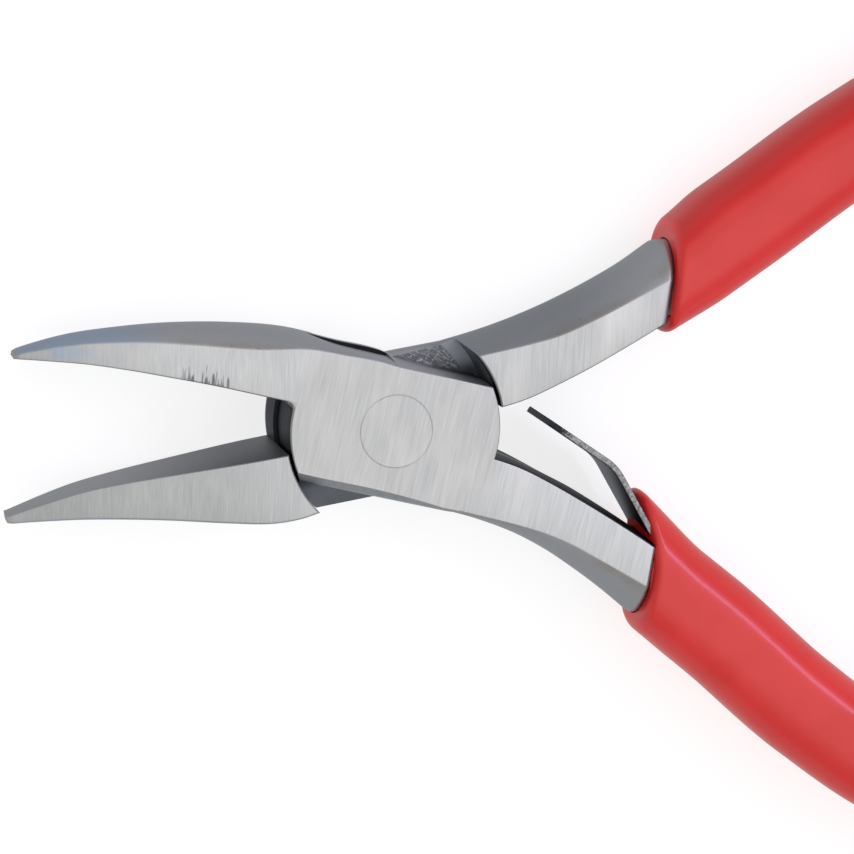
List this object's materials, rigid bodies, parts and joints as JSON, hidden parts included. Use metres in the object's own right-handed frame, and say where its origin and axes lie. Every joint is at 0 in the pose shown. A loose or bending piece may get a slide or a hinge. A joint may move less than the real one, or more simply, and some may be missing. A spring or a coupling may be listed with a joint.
{
  "type": "bent nose pliers",
  "caption": "Small spring-opened pliers with a lap joint, thin curved tapering jaws with smooth gripping faces, a leaf spring between the handles and sleeve grips.",
  "frame": {"origin": "middle of the pivot rivet's flush rear end, in the plane of the tool's rear face", "axes": "+X from the pivot towards the handle ends, +Y towards the upper handle, +Z along the pivot, out of the front face"},
  "size_m": [0.1206, 0.0849, 0.009],
  "materials": {
    "forged_steel": "ground satin faces with fine scratches, duller rounded sides",
    "rivet_steel": "ground flush with the plates",
    "spring_steel": "smooth rolled strip",
    "red_sleeve": "semi-gloss soft vinyl"
  },
  "bodies": {
    "spring_half": {"upper_jaw_half": "forged_steel", "pivot_rivet": "rivet_steel", "lower_grip": "red_sleeve", "leaf_spring_foot": "spring_steel", "spring_rivet": "rivet_steel"},
    "plain_half": {"lower_jaw_half": "forged_steel", "upper_grip": "red_sleeve"},
    "spring_blade": {"leaf_spring": "spring_steel"}
  },
  "joints": [
    {"name": "main_pivot", "type": "hinge", "parent": "spring_half", "child": "plain_half", "pos_m": [0, 0, 0.0045], "axis": [0, 0, 1], "range_deg": [-23, 7], "stiffness_Nm_per_rad": 0.3},
    {"name": "blade_flex", "type": "hinge", "parent": "spring_half", "child": "spring_blade", "pos_m": [0.02399, -0.00947, 0.0045], "axis": [0, 0, 1], "range_deg": [-4.7, 15.3]}
  ],
  "couplings": [
    {"joint": "blade_flex", "follows": "main_pivot", "ratio": -0.66}
  ]
}
